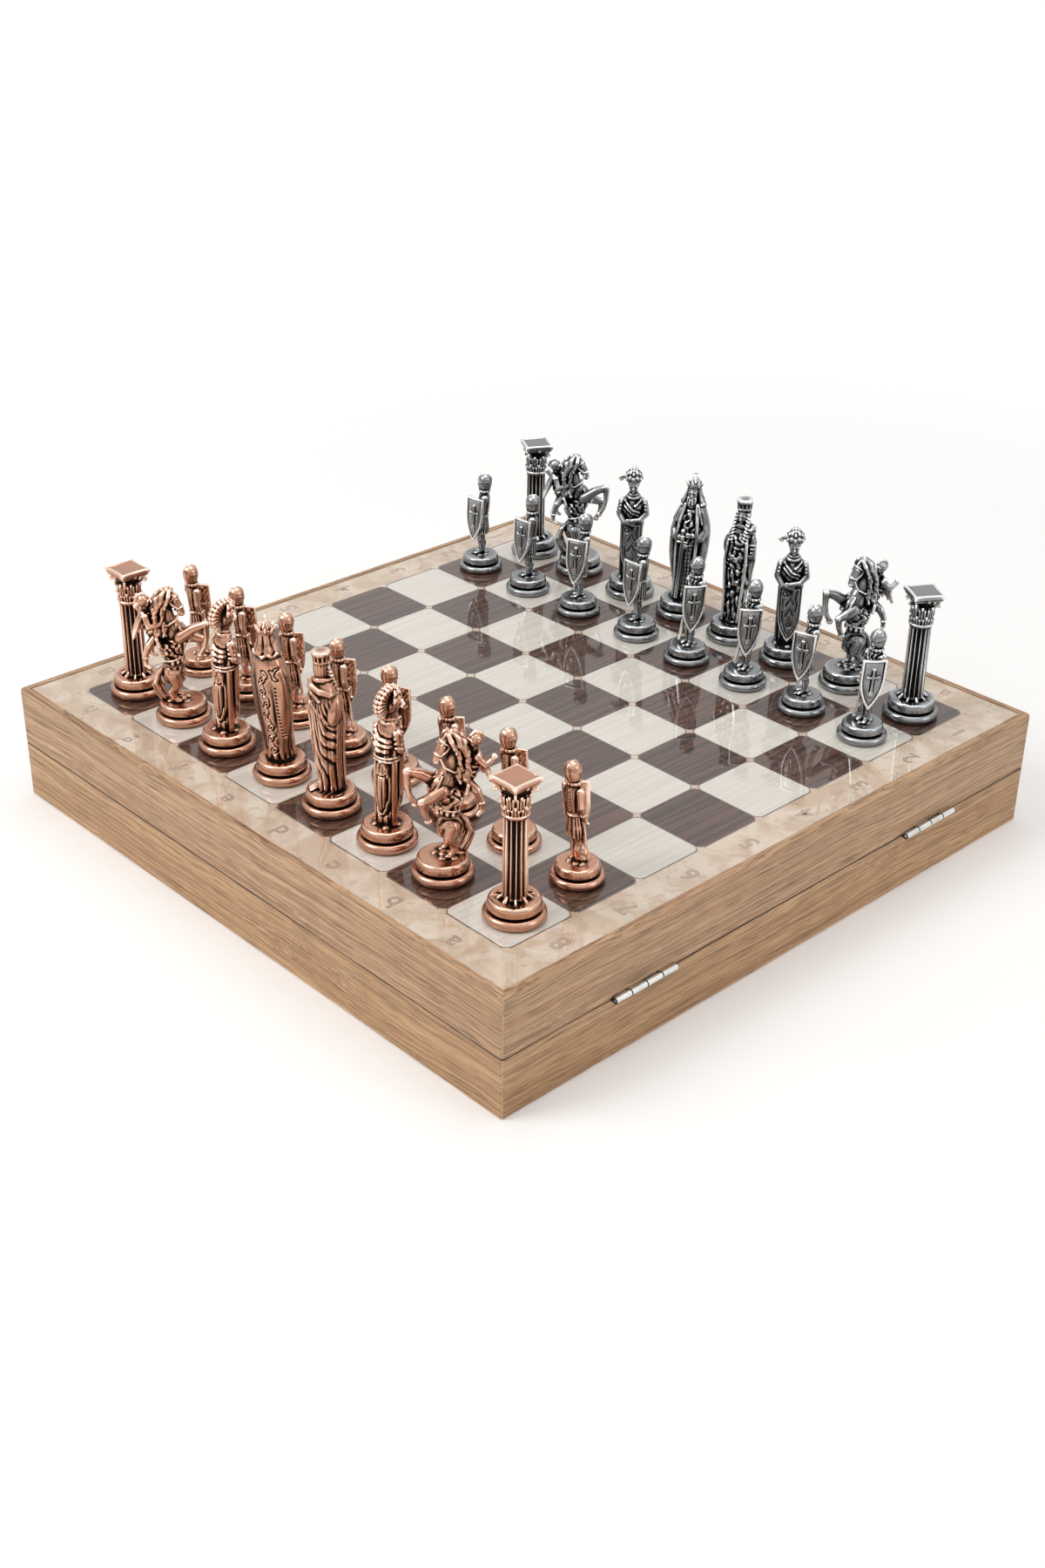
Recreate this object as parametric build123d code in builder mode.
"""Chess set: a hinged oak box whose lid is the playing board, with two armies of cast metal figures.

Frame: millimetres, +Z up, origin at the centre of the box's underside. The copper army stands on the
-Y side, the silver army on the +Y side, and the lid's hinges are on the +X side.
"""

import os
from collections import namedtuple
from math import cos, radians, sin, sqrt

from build123d import *

# Box
box_side = 300.0
half_height = 25.5
wall_thickness = 9.0
corner_radius = 1.5
edge_chamfer = 0.8
seam_chamfer = 0.5
floor_thickness = 4.0
floor_lip = 3.5
felt_thickness = 1.0
felt_margin = 0.5
joinery_clearance = 0.1

# Playing panel
rim_width = 3.6
panel_thickness = 5.0
panel_recess = 0.3
square_pitch = 32.5
squares_across = 8
outline_width = 0.5
square_corner_radius = 3.2
veneer_thickness = 0.8
inlay_clearance = 0.02

# How close to a level an edge lies to be counted as on it
level_tolerance = 0.01

# Hinges
hinge_length = 31.5
hinge_middle = 82.5
knuckle_count = 4
knuckle_gap = 0.25
barrel_radius = 1.3
barrel_standoff = 0.1
pin_radius = 0.7
pin_clearance = 0.04
pin_recess = 1.2
leaf_thickness = 0.9
leaf_depth = 7.0
leaf_gap = 0.05
mortise_clearance = 0.1
screw_inset = 5.5
screw_radius = 0.9
screw_head_radius = 1.7
screw_length = 7.0
screw_clearance = 0.05

# Figures: the turned foot that every figure stands on
foot_radius = 11.5
foot_height = 8.4
pawn_foot_radius = 10.25
pawn_foot_height = 7.4
foot_disc_share = 0.52
foot_edge_bulge = 0.9
groove_depth = 0.5
groove_height = 0.6
drum_inset = 1.6
drum_taper = 0.5
drum_edge_radius = 1.0

# Rook: a fluted column with a leafy capital under a square top plate
column_foot_radius = 5.2
column_foot_height = 2.2
column_bottom_radius = 4.3
column_top_radius = 3.8
column_height = 31.8
flute_count = 12
flute_radius = 0.72
collar_radius = 0.5
capital_height = 11.0
capital_top_radius = 5.0
volute_radius = 1.2
abacus_side = 11.6
abacus_hollow = 0.7
abacus_thickness = 2.6

# Figures' bodies: every height in these tables is taken from the top of the figure's foot
Ring = namedtuple("Ring", "height forward half_depth half_width")
Bend = namedtuple("Bend", "forward left height radius")
Oval = namedtuple("Oval", "forward height radius half_height")
Shield = namedtuple("Shield", "width height straight thickness bottom waist_share waist_height_share")

# Pawn: a helmeted foot soldier with a tall pointed shield
pawn_body = (
    Ring(12.6, 0.0, 1.9, 2.6),
    Ring(16.6, 0.0, 2.3, 3.0),
    Ring(21.1, 0.0, 2.0, 2.6),
    Ring(26.6, 0.2, 2.7, 3.8),
    Ring(30.1, 0.0, 2.3, 4.1),
    Ring(32.1, 0.0, 1.4, 1.9),
)
pawn_head = Oval(0.2, 36.6, 3.2, 3.9)
pawn_neck = (Bend(0.0, 0.0, 31.1, 1.4), Bend(0.2, 0.0, 34.6, 1.5))
pawn_leg = (Bend(0.2, 1.5, 0.0, 1.3), Bend(-0.3, 1.5, 6.6, 1.4), Bend(0.0, 1.3, 14.1, 1.8))
pawn_right_arm = (Bend(0.0, -3.9, 29.4, 1.4), Bend(-1.4, -4.8, 22.1, 1.2), Bend(1.6, -3.6, 16.6, 1.1))
pawn_left_arm = (Bend(0.0, 3.9, 29.4, 1.4), Bend(0.6, 4.6, 23.1, 1.2), Bend(3.4, 3.0, 21.6, 1.1))
pawn_shield = Shield(9.8, 22.0, 8.0, 1.2, 7.6, 0.72, 0.45)
pawn_shield_turn = 50.0
pawn_shield_reach = 3.6
pawn_shield_forward = 1.6

# King: a caped and bearded figure with an arched crown under a small cross
king_robe = (
    Ring(-0.4, 0.0, 4.4, 5.2),
    Ring(5.6, 0.0, 4.9, 6.4),
    Ring(11.6, 0.0, 5.4, 8.2),
    Ring(20.6, 0.0, 5.7, 9.0),
    Ring(29.6, 0.0, 5.6, 8.6),
    Ring(37.6, -0.2, 5.0, 8.2),
    Ring(42.6, -0.3, 4.0, 7.0),
    Ring(45.6, -0.3, 2.4, 3.0),
)
king_head = Oval(0.3, 48.1, 3.0, 4.0)
king_arm = (Bend(0.5, 6.2, 38.1, 2.1), Bend(3.8, 6.0, 29.1, 1.9), Bend(5.8, 1.6, 30.1, 1.4))
crown_bottom = 50.6
crown_height = 6.2
crown_band_radius = 3.1
crown_flare_radius = 3.6
crown_shoulder_radius = 1.9
crown_shoulder_height = 5.3
cross_width = 2.6
cross_height = 3.2
cross_bar_height = 1.8
cross_thickness = 0.8

# Queen: a long pleated gown under a shawl, with a flat round crown
queen_robe = (
    Ring(-0.4, 0.0, 4.7, 5.0),
    Ring(11.6, 0.0, 4.7, 5.2),
    Ring(21.6, 0.0, 4.9, 5.9),
    Ring(30.1, 0.0, 5.1, 7.0),
    Ring(38.0, -0.2, 4.7, 6.8),
    Ring(42.6, -0.3, 3.6, 5.6),
    Ring(46.1, -0.3, 1.9, 2.3),
)
queen_head = Oval(0.2, 49.8, 2.9, 3.9)
queen_arm = (Bend(1.2, 4.8, 38.4, 2.0), Bend(2.8, 5.4, 30.6, 1.8), Bend(5.4, 1.4, 32.3, 1.3))
pillbox_bottom = 53.0
pillbox_height = 4.2
pillbox_bottom_radius = 2.9
pillbox_top_radius = 3.2

# Bishop: a robed figure with a crested headdress, folded arms and a long hanging shield
bishop_robe = (
    Ring(-0.4, 0.0, 3.6, 4.0),
    Ring(5.6, 0.0, 3.8, 4.3),
    Ring(17.6, 0.0, 4.1, 4.8),
    Ring(27.6, 0.0, 4.0, 5.0),
    Ring(34.6, 0.0, 3.9, 5.4),
    Ring(38.6, -0.1, 3.2, 5.0),
    Ring(41.6, -0.2, 1.8, 2.2),
)
bishop_neck = (Bend(-0.1, 0.0, 40.6, 1.7), Bend(0.3, 0.0, 44.0, 1.6))
bishop_head = Oval(0.4, 45.6, 2.8, 3.8)
bishop_arm = (Bend(0.0, 5.0, 37.8, 1.8), Bend(1.4, 6.2, 31.2, 1.5), Bend(4.4, 1.4, 30.0, 1.3))
bishop_shield = Shield(9.4, 26.5, 13.2, 2.6, 2.6, 0.72, 0.45)
bishop_shield_back = 2.8
crest_middle = Bend(-0.4, 0.0, 50.6, 4.6)
crest_width = 5.0

# Knight: a rearing horse, with its rider leaning back behind the neck
horse_body = (
    Bend(-4.2, 0.0, 12.1, 5.0),
    Bend(-3.2, 0.0, 20.6, 4.6),
    Bend(-1.4, 0.0, 28.6, 4.3),
    Bend(-4.4, 0.0, 36.6, 3.5),
    Bend(-4.8, 0.0, 43.6, 2.7),
    Bend(-1.6, 0.0, 43.1, 2.3),
    Bend(2.6, 0.0, 38.4, 1.6),
)
horse_ear = (Bend(-4.6, 1.2, 45.1, 1.0), Bend(-4.2, 1.5, 48.6, 0.5))
horse_hind_leg = (Bend(-2.4, 2.9, 0.0, 1.6), Bend(-6.0, 2.9, 5.6, 1.6), Bend(-3.0, 2.6, 12.1, 3.2))
horse_right_foreleg = (
    Bend(0.6, -2.6, 28.6, 2.2),
    Bend(8.8, -3.2, 32.8, 1.5),
    Bend(9.2, -3.0, 23.6, 1.1),
    Bend(7.2, -2.8, 19.1, 1.4),
)
horse_left_foreleg = (Bend(0.6, 2.6, 27.6, 2.2), Bend(7.6, 3.2, 25.6, 1.5), Bend(6.4, 3.0, 17.1, 1.3))
horse_tail = (Bend(-8.0, 0.0, 13.6, 1.6), Bend(-11.0, 0.0, 8.6, 1.9), Bend(-8.4, 0.0, 1.6, 1.2))
rider_body = (
    Bend(-9.0, 0.0, 24.6, 3.2),
    Bend(-12.6, 0.0, 31.6, 3.0),
    Bend(-13.8, 0.0, 36.8, 2.8),
    Bend(-14.2, 0.0, 42.2, 2.8),
)
rider_leg = (Bend(-9.6, 3.0, 25.0, 2.2), Bend(-5.2, 5.4, 23.2, 1.7), Bend(-8.8, 5.8, 15.6, 1.3))
rider_arm = (Bend(-13.4, 3.0, 36.6, 1.6), Bend(-9.6, 4.4, 32.6, 1.3), Bend(-5.4, 2.4, 33.6, 1.2))

# How much larger than its limb the ball at each joint is, so that the two cross cleanly
joint_swell = 1.02

# Heights that follow from the sizes above
seam_height = half_height
box_height = 2 * half_height
board_top = box_height - panel_recess
panel_side = box_side - 2 * rim_width - 2 * joinery_clearance
floor_side = box_side - 2 * floor_lip - 2 * joinery_clearance
inner_side = box_side - 2 * wall_thickness
field_start = -squares_across * square_pitch / 2
hinge_axis_x = box_side / 2 + barrel_standoff + barrel_radius

os.makedirs("parts", exist_ok=True)


def write(part, label):
    """Label a finished piece and write it as its own file."""
    part.label = label
    export_step(part, f"parts/{label}.step")


# Box walls

SIDES = {"front": 0, "hinge": 90, "back": 180, "left": 270}


def wall_outline(turn):
    """One mitred wall seen from above, turned from the -Y side to its own side."""
    outer = box_side / 2
    inner = inner_side / 2
    RectangleRounded(box_side, box_side, corner_radius)
    corners = ((-outer, -outer), (outer, -outer), (inner, -inner), (-inner, -inner))
    Polygon(*corners, rotation=turn, align=None, mode=Mode.INTERSECT)


def outer_edges(part, height):
    """The edges at a height that run round the outside of the box."""
    level = part.edges().filter_by(lambda edge: abs(edge.center().Z - height) < level_tolerance)
    reach = box_side / 2 - corner_radius
    return level.filter_by(lambda edge: max(abs(edge.center().X), abs(edge.center().Y)) > reach)


def hinge_places():
    """The middle of each hinge along the wall."""
    return (-hinge_middle, hinge_middle)


def screw_places():
    """Every hinge screw's place in the seam plane."""
    x = box_side / 2 - leaf_depth / 2
    return [
        (x, middle + way * (hinge_length / 2 - screw_inset))
        for middle in hinge_places()
        for way in (-1, 1)
    ]


def cut_hinge_seats(into):
    """Cut the mortises and pilot holes of the hinge leaves into a wall, up or down from the seam."""
    depth = leaf_gap + leaf_thickness + mortise_clearance
    long = hinge_length + 2 * mortise_clearance
    wide = leaf_depth + mortise_clearance + corner_radius
    with BuildSketch(Plane.XY.offset(seam_height)) as mortises:
        with Locations(*[(box_side / 2 - leaf_depth - mortise_clearance, y) for y in hinge_places()]):
            Rectangle(wide, long, align=(Align.MIN, Align.CENTER))
    extrude(mortises.sketch, amount=into * depth, mode=Mode.SUBTRACT)
    with BuildSketch(Plane.XY.offset(seam_height)) as pilot_holes:
        with Locations(*screw_places()):
            Circle(screw_radius + screw_clearance)
    extrude(pilot_holes.sketch, amount=into * (screw_length + 2 * leaf_thickness), mode=Mode.SUBTRACT)


for side, turn in SIDES.items():
    with BuildPart() as base_wall:
        with BuildSketch():
            wall_outline(turn)
        extrude(amount=half_height)
        chamfer(outer_edges(base_wall.part, 0), edge_chamfer)
        chamfer(outer_edges(base_wall.part, seam_height), seam_chamfer)
        with BuildSketch():
            Rectangle(floor_side + 2 * joinery_clearance, floor_side + 2 * joinery_clearance)
        extrude(amount=floor_thickness, mode=Mode.SUBTRACT)
        if side == "hinge":
            cut_hinge_seats(-1)
    write(base_wall.part, f"base_{side}_wall")

    with BuildPart() as lid_wall:
        with BuildSketch(Plane.XY.offset(seam_height)):
            wall_outline(turn)
        extrude(amount=half_height)
        chamfer(outer_edges(lid_wall.part, seam_height), seam_chamfer)
        chamfer(outer_edges(lid_wall.part, box_height), edge_chamfer)
        with BuildSketch(Plane.XY.offset(box_height)):
            Rectangle(panel_side + 2 * joinery_clearance, panel_side + 2 * joinery_clearance)
        extrude(amount=-(panel_thickness + panel_recess), mode=Mode.SUBTRACT)
        if side == "hinge":
            cut_hinge_seats(1)
    write(lid_wall.part, f"lid_{side}_wall")

# Floor and felt linings

with BuildPart() as base_floor:
    with BuildSketch():
        Rectangle(floor_side, floor_side)
    extrude(amount=floor_thickness)
write(base_floor.part, "base_floor")

with BuildPart() as base_lining:
    with BuildSketch(Plane.XY.offset(floor_thickness)):
        Rectangle(inner_side - 2 * felt_margin, inner_side - 2 * felt_margin)
    extrude(amount=felt_thickness)
write(base_lining.part, "base_lining")

with BuildPart() as lid_lining:
    with BuildSketch(Plane.XY.offset(board_top - panel_thickness)):
        Rectangle(inner_side - 2 * felt_margin, inner_side - 2 * felt_margin)
    extrude(amount=-felt_thickness)
write(lid_lining.part, "lid_lining")

# Playing panel and its squares


def square_middle(column, row):
    """The middle of a square, counted from the -X side and from the -Y side."""
    return (field_start + (column + 0.5) * square_pitch, field_start + (row + 0.5) * square_pitch)


def squares(parity):
    """The middles of the squares of one colour: 0 for light, 1 for dark."""
    count = range(squares_across)
    places = [(column, row) for column in count for row in count]
    return [square_middle(*place) for place in places if (sum(place) + 1) % 2 == parity]


pocket_side = square_pitch - outline_width
with BuildPart() as playing_panel:
    with BuildSketch(Plane.XY.offset(board_top)):
        Rectangle(panel_side, panel_side)
    extrude(amount=-panel_thickness)
    with BuildSketch(Plane.XY.offset(board_top)):
        with GridLocations(square_pitch, square_pitch, squares_across, squares_across):
            RectangleRounded(pocket_side, pocket_side, square_corner_radius)
    extrude(amount=-veneer_thickness, mode=Mode.SUBTRACT)
write(playing_panel.part, "playing_panel")

veneer_side = pocket_side - 2 * inlay_clearance
for label, parity in (("light_squares", 0), ("dark_squares", 1)):
    with BuildPart() as veneers:
        with BuildSketch(Plane.XY.offset(board_top)):
            with Locations(*squares(parity)):
                RectangleRounded(veneer_side, veneer_side, square_corner_radius - inlay_clearance)
        extrude(amount=-veneer_thickness)
    write(veneers.part, label)

# Hinges

knuckle_pitch = hinge_length / knuckle_count
knuckle_length = knuckle_pitch - knuckle_gap


def knuckle_middles(middle, first):
    """The middles of every second knuckle of one hinge, from the first or the second on."""
    start = middle - hinge_length / 2 + knuckle_pitch / 2
    return [start + number * knuckle_pitch for number in range(first, knuckle_count, 2)]


def hinge_leaf(middle, first, into):
    """One hinge leaf: a plate in its mortise, with fingers that roll into knuckles round the pin."""
    plate_end = box_side / 2 - barrel_standoff - leaf_gap
    plate_start = box_side / 2 - leaf_depth
    level = Plane.XY.offset(seam_height + into * leaf_gap)
    knuckles = knuckle_middles(middle, first)
    with BuildSketch(level) as plate:
        with Locations((plate_start, middle)):
            Rectangle(plate_end - plate_start, hinge_length, align=(Align.MIN, Align.CENTER))
        with Locations(*[(plate_start, y) for y in knuckles]):
            Rectangle(hinge_axis_x - plate_start, knuckle_length, align=(Align.MIN, Align.CENTER))
    extrude(plate.sketch, amount=into * leaf_thickness)
    for radius, mode in ((barrel_radius, Mode.ADD), (pin_radius + pin_clearance, Mode.SUBTRACT)):
        for y in knuckles:
            with Locations(Plane((hinge_axis_x, y, seam_height), z_dir=(0, 1, 0))):
                Cylinder(radius, knuckle_length, mode=mode)
    for x, y in screw_places():
        if abs(y - middle) < hinge_length / 2:
            with Locations(Plane((x, y, seam_height + into * leaf_gap), z_dir=(0, 0, into))):
                Cone(
                    screw_head_radius + screw_clearance,
                    screw_radius + screw_clearance,
                    leaf_thickness,
                    align=(Align.CENTER, Align.CENTER, Align.MIN),
                    mode=Mode.SUBTRACT,
                )


def hinge_screws(into):
    """The countersunk screws of one half's hinge leaves."""
    for x, y in screw_places():
        with Locations(Plane((x, y, seam_height + into * leaf_gap), z_dir=(0, 0, into))):
            Cone(
                screw_head_radius,
                screw_radius,
                leaf_thickness,
                align=(Align.CENTER, Align.CENTER, Align.MIN),
            )
            Cylinder(screw_radius, screw_length, align=(Align.CENTER, Align.CENTER, Align.MIN))


for place, middle in zip(("front", "back"), hinge_places()):
    with BuildPart() as base_leaf:
        hinge_leaf(middle, 0, -1)
    write(base_leaf.part, f"{place}_hinge_base_leaf")

    with BuildPart() as lid_leaf:
        hinge_leaf(middle, 1, 1)
    write(lid_leaf.part, f"{place}_hinge_lid_leaf")

    with BuildPart() as hinge_pin:
        pin_length = hinge_length - knuckle_gap - 2 * pin_recess
        with BuildSketch(Plane.XZ.offset(-middle - pin_length / 2)):
            with Locations((hinge_axis_x, seam_height)):
                Circle(pin_radius)
        extrude(amount=pin_length)
    write(hinge_pin.part, f"{place}_hinge_pin")

with BuildPart() as base_screws:
    hinge_screws(-1)
write(base_screws.part, "base_hinge_screws")

with BuildPart() as lid_screws:
    hinge_screws(1)
write(lid_screws.part, "lid_hinge_screws")

# Figures. Each is modelled at the origin, facing +X, with its foot on the XY plane.


def turned_foot(radius, height):
    """The round foot: a disc with a bulged edge, a groove and a drum with a rounded shoulder."""
    disc_height = foot_disc_share * height
    disc_radius = radius - foot_edge_bulge
    drum_radius = radius - drum_inset
    groove_top = disc_height + groove_height
    shoulder = drum_radius - drum_taper
    with BuildSketch(Plane.XZ) as profile:
        with BuildLine():
            Polyline((0, height), (0, 0), (disc_radius, 0))
            ThreePointArc((disc_radius, 0), (radius, disc_height / 2), (disc_radius, disc_height))
            Polyline(
                (disc_radius, disc_height),
                (drum_radius - groove_depth, disc_height),
                (drum_radius - groove_depth, groove_top),
                (drum_radius, groove_top),
                (shoulder, height - drum_edge_radius),
            )
            bend = drum_edge_radius * (1 - 1 / sqrt(2))
            ThreePointArc(
                (shoulder, height - drum_edge_radius),
                (shoulder - bend, height - bend),
                (shoulder - drum_edge_radius, height),
            )
            Line((shoulder - drum_edge_radius, height), (0, height))
        make_face()
    revolve(profile.sketch, axis=Axis.Z)


def robe(rings, ground):
    """A draped body lofted through oval rings, counted up from the ground it stands on."""
    sections = []
    for ring in rings:
        with BuildSketch(Plane.XY.offset(ground + ring.height)) as section:
            with Locations((ring.forward, 0)):
                Ellipse(ring.half_depth, ring.half_width)
        sections.append(section.sketch)
    loft(sections)


def limb(bends, ground):
    """A round limb that tapers from bend to bend, with a ball at each."""
    middles = [Vector(bend.forward, bend.left, ground + bend.height) for bend in bends]
    for number in range(len(bends) - 1):
        start = bends[number]
        end = bends[number + 1]
        along = middles[number + 1] - middles[number]
        with Locations(Plane(middles[number], z_dir=along)):
            if start.radius == end.radius:
                Cylinder(start.radius, along.length, align=(Align.CENTER, Align.CENTER, Align.MIN))
            else:
                Cone(start.radius, end.radius, along.length, align=(Align.CENTER, Align.CENTER, Align.MIN))
    for bend, middle in zip(bends, middles):
        with Locations(middle):
            Sphere(bend.radius * joint_swell)


def both_sides(bends, ground):
    """The same limb on the right and on the left."""
    limb([bend._replace(left=-bend.left) for bend in bends], ground)
    limb(bends, ground)


def egg(oval, ground):
    """An upright oval body, such as a head."""
    middle = Vector(oval.forward, 0, ground + oval.height)
    with BuildSketch(Plane(middle, x_dir=(1, 0, 0), z_dir=(0, -1, 0))) as profile:
        Ellipse(oval.radius, oval.half_height)
        Rectangle(oval.radius, 2 * oval.half_height, align=(Align.MAX, Align.CENTER), mode=Mode.SUBTRACT)
    revolve(profile.sketch, axis=Axis(middle, (0, 0, 1)))


def shield_outline(shield):
    """A flat-topped shield with straight upper sides that curve to a point, its tip at the origin."""
    half = shield.width / 2
    top = shield.height - shield.straight
    waist = half * shield.waist_share
    waist_height = top * shield.waist_height_share
    with BuildLine() as outline:
        Polyline((-half, top), (-half, shield.height), (half, shield.height), (half, top))
        ThreePointArc((half, top), (waist, waist_height), (0, 0))
        ThreePointArc((0, 0), (-waist, waist_height), (-half, top))
    make_face(outline.edges())


with BuildPart() as rook:
    turned_foot(foot_radius, foot_height)
    shaft_start = foot_height + column_foot_height
    shaft_end = shaft_start + column_height
    capital_end = shaft_end + capital_height
    with BuildSketch(Plane.XZ):
        with BuildLine():
            Polyline(
                (0, capital_end),
                (0, foot_height),
                (column_foot_radius, foot_height),
                (column_bottom_radius, shaft_start),
                (column_top_radius, shaft_end),
            )
            neck = (column_top_radius, shaft_end)
            lip = (capital_top_radius, capital_end)
            belly = (column_top_radius + collar_radius / 2, shaft_end + capital_height / 2)
            ThreePointArc(neck, belly, lip)
            Line(lip, (0, capital_end))
        make_face()
    revolve(axis=Axis.Z)
    with Locations((0, 0, shaft_start)):
        with PolarLocations((column_bottom_radius + column_top_radius) / 2, flute_count):
            Cylinder(
                flute_radius,
                column_height - 2 * flute_radius,
                align=(Align.CENTER, Align.CENTER, Align.MIN),
                mode=Mode.SUBTRACT,
            )
    with Locations((0, 0, shaft_end)):
        Torus(column_top_radius, collar_radius)
    with BuildSketch(Plane.XY.offset(capital_end)):
        corner = abacus_side / 2
        middle = corner - abacus_hollow
        with BuildLine():
            ThreePointArc((-corner, -corner), (0, -middle), (corner, -corner))
            ThreePointArc((corner, -corner), (middle, 0), (corner, corner))
            ThreePointArc((corner, corner), (0, middle), (-corner, corner))
            ThreePointArc((-corner, corner), (-middle, 0), (-corner, -corner))
        make_face()
    extrude(amount=abacus_thickness)
    with Locations((0, 0, capital_end - volute_radius / 2)):
        with PolarLocations((abacus_side / 2 - volute_radius) * sqrt(2), 4, start_angle=45):
            Sphere(volute_radius)

with BuildPart() as pawn:
    turned_foot(pawn_foot_radius, pawn_foot_height)
    robe(pawn_body, pawn_foot_height)
    egg(pawn_head, pawn_foot_height)
    limb(pawn_neck, pawn_foot_height)
    both_sides(pawn_leg, pawn_foot_height)
    limb(pawn_right_arm, pawn_foot_height)
    limb(pawn_left_arm, pawn_foot_height)
    way = Vector(cos(radians(pawn_shield_turn)), sin(radians(pawn_shield_turn)), 0)
    tip = way * pawn_shield_reach + Vector(pawn_shield_forward, 0, pawn_foot_height + pawn_shield.bottom)
    with BuildSketch(Plane(tip, x_dir=(-way.Y, way.X, 0), z_dir=way)):
        shield_outline(pawn_shield)
    extrude(amount=pawn_shield.thickness)

with BuildPart() as king:
    turned_foot(foot_radius, foot_height)
    robe(king_robe, foot_height)
    egg(king_head, foot_height)
    band = foot_height + crown_bottom
    arch = band + crown_height
    with BuildSketch(Plane.XZ):
        with BuildLine():
            flare = (crown_flare_radius, band + crown_height / 2)
            Polyline((0, arch), (0, band), (crown_band_radius, band), flare)
            ThreePointArc(flare, (crown_shoulder_radius, band + crown_shoulder_height), (0, arch))
        make_face()
    revolve(axis=Axis.Z)
    with Locations((0, 0, arch - cross_thickness)):
        Box(
            cross_thickness,
            cross_thickness,
            cross_height + cross_thickness,
            align=(Align.CENTER, Align.CENTER, Align.MIN),
        )
    with Locations((0, 0, arch + cross_bar_height)):
        Box(cross_thickness, cross_width, cross_thickness)
    both_sides(king_arm, foot_height)

with BuildPart() as queen:
    turned_foot(foot_radius, foot_height)
    robe(queen_robe, foot_height)
    egg(queen_head, foot_height)
    with Locations((0, 0, foot_height + pillbox_bottom)):
        Cone(
            pillbox_bottom_radius,
            pillbox_top_radius,
            pillbox_height,
            align=(Align.CENTER, Align.CENTER, Align.MIN),
        )
    both_sides(queen_arm, foot_height)

with BuildPart() as bishop:
    turned_foot(foot_radius, foot_height)
    robe(bishop_robe, foot_height)
    limb(bishop_neck, foot_height)
    egg(bishop_head, foot_height)
    crest_place = Vector(crest_middle.forward, crest_middle.left, foot_height + crest_middle.height)
    with Locations(Plane(crest_place, z_dir=(0, 1, 0))):
        Cylinder(crest_middle.radius, crest_width)
    both_sides(bishop_arm, foot_height)
    hang = Vector(bishop_shield_back, 0, foot_height + bishop_shield.bottom)
    with BuildSketch(Plane(hang, x_dir=(0, 1, 0), z_dir=(1, 0, 0))):
        shield_outline(bishop_shield)
    extrude(amount=bishop_shield.thickness)

with BuildPart() as knight:
    turned_foot(foot_radius, foot_height)
    limb(horse_body, foot_height)
    both_sides(horse_ear, foot_height)
    both_sides(horse_hind_leg, foot_height)
    limb(horse_right_foreleg, foot_height)
    limb(horse_left_foreleg, foot_height)
    limb(horse_tail, foot_height)
    limb(rider_body, foot_height)
    both_sides(rider_leg, foot_height)
    both_sides(rider_arm, foot_height)

# Where every figure stands: its square, how far along X and Y from the square's middle, and which way
# it faces, in degrees from +X

Standing = namedtuple("Standing", "figure file rank along across turn")
FILES = "hgfedcba"
FIGURES = {"rook": rook, "knight": knight, "bishop": bishop, "queen": queen, "king": king, "pawn": pawn}
COPPER = [
    Standing("rook", "a", 8, 3.0, 0.0, 0),
    Standing("knight", "b", 8, -1.5, -0.5, -105),
    Standing("bishop", "c", 8, 0.0, -0.5, 95),
    Standing("queen", "d", 8, -1.0, 0.0, 95),
    Standing("king", "e", 8, -0.5, 1.0, 95),
    Standing("bishop", "f", 8, -1.5, -1.0, 90),
    Standing("knight", "g", 8, -1.0, 0.5, 45),
    Standing("rook", "h", 8, -1.5, 0.0, 0),
    Standing("pawn", "a", 7, 0.0, 1.0, 90),
    Standing("pawn", "b", 7, 0.0, 0.5, 80),
    Standing("pawn", "c", 7, -0.5, 0.5, 90),
    Standing("pawn", "d", 7, -1.5, 0.5, 70),
    Standing("pawn", "e", 7, -1.0, 1.0, 85),
    Standing("pawn", "f", 7, -1.0, 1.0, 90),
    Standing("pawn", "g", 7, -2.0, 1.0, 80),
    Standing("pawn", "h", 7, -0.5, 0.0, 85),
]
SILVER = [
    Standing("rook", "a", 1, 2.0, -1.5, -33),
    Standing("knight", "b", 1, -1.0, 0.0, -105),
    Standing("bishop", "c", 1, -1.5, -0.5, -50),
    Standing("queen", "d", 1, 0.0, -0.5, -75),
    Standing("king", "e", 1, 0.0, 1.0, -65),
    Standing("bishop", "f", 1, 1.0, 0.0, -50),
    Standing("knight", "g", 1, -1.5, 1.5, 38),
    Standing("rook", "h", 1, 1.0, 0.5, -30),
    Standing("pawn", "a", 2, 1.0, 0.0, -89),
    Standing("pawn", "b", 2, 1.0, 1.0, -124),
    Standing("pawn", "c", 2, 1.5, 0.5, -94),
    Standing("pawn", "d", 2, 2.0, 0.0, -86),
    Standing("pawn", "e", 2, 2.5, 1.5, -139),
    Standing("pawn", "f", 2, -0.5, 0.0, -119),
    Standing("pawn", "g", 2, -0.5, -1.0, -138),
    Standing("pawn", "h", 2, -2.5, 0.5, -134),
]
SINGLE = ("king", "queen")

for army, standings in (("copper", COPPER), ("silver", SILVER)):
    for stand in standings:
        x, y = square_middle(FILES.index(stand.file), squares_across - stand.rank)
        spot = Location((x + stand.along, y + stand.across, board_top), (0, 0, stand.turn))
        label = f"{army}_{stand.figure}"
        if stand.figure not in SINGLE:
            label = f"{label}_{stand.file}"
        with BuildPart() as piece:
            with Locations(spot):
                add(FIGURES[stand.figure].part)
        write(piece.part, label)
